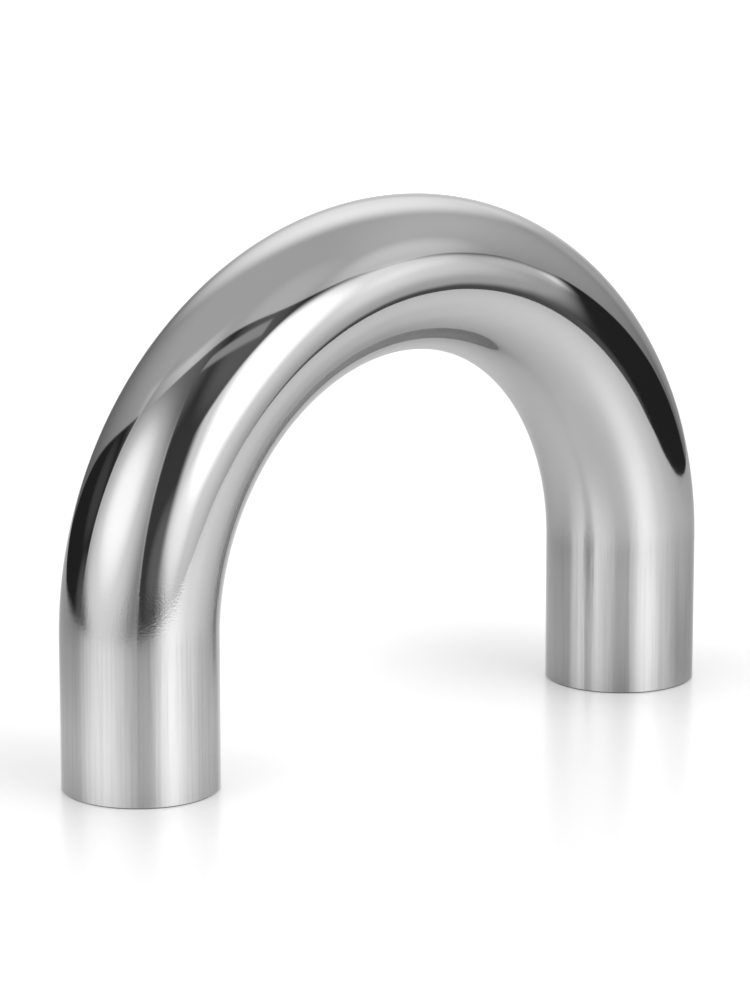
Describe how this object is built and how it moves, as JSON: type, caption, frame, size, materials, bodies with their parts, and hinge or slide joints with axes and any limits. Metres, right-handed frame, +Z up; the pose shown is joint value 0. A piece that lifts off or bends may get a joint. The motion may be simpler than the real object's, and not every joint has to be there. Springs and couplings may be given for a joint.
{
  "type": "return bend",
  "caption": "Polished stainless tube turned through half a circle, with a short straight leg at each end, that sends a pipe run back parallel to itself.",
  "frame": {"origin": "on the ground plane through the two cut ends, midway between the legs", "axes": "+Z up along the legs towards the bend, +X from the left leg to the right leg, +Y across the plane of the bend"},
  "size_m": [0.194, 0.038, 0.1335],
  "materials": {
    "polished_steel": "mirror polished stainless steel"
  },
  "bodies": {
    "root": {"return_bend": "polished_steel"}
  },
  "joints": []
}
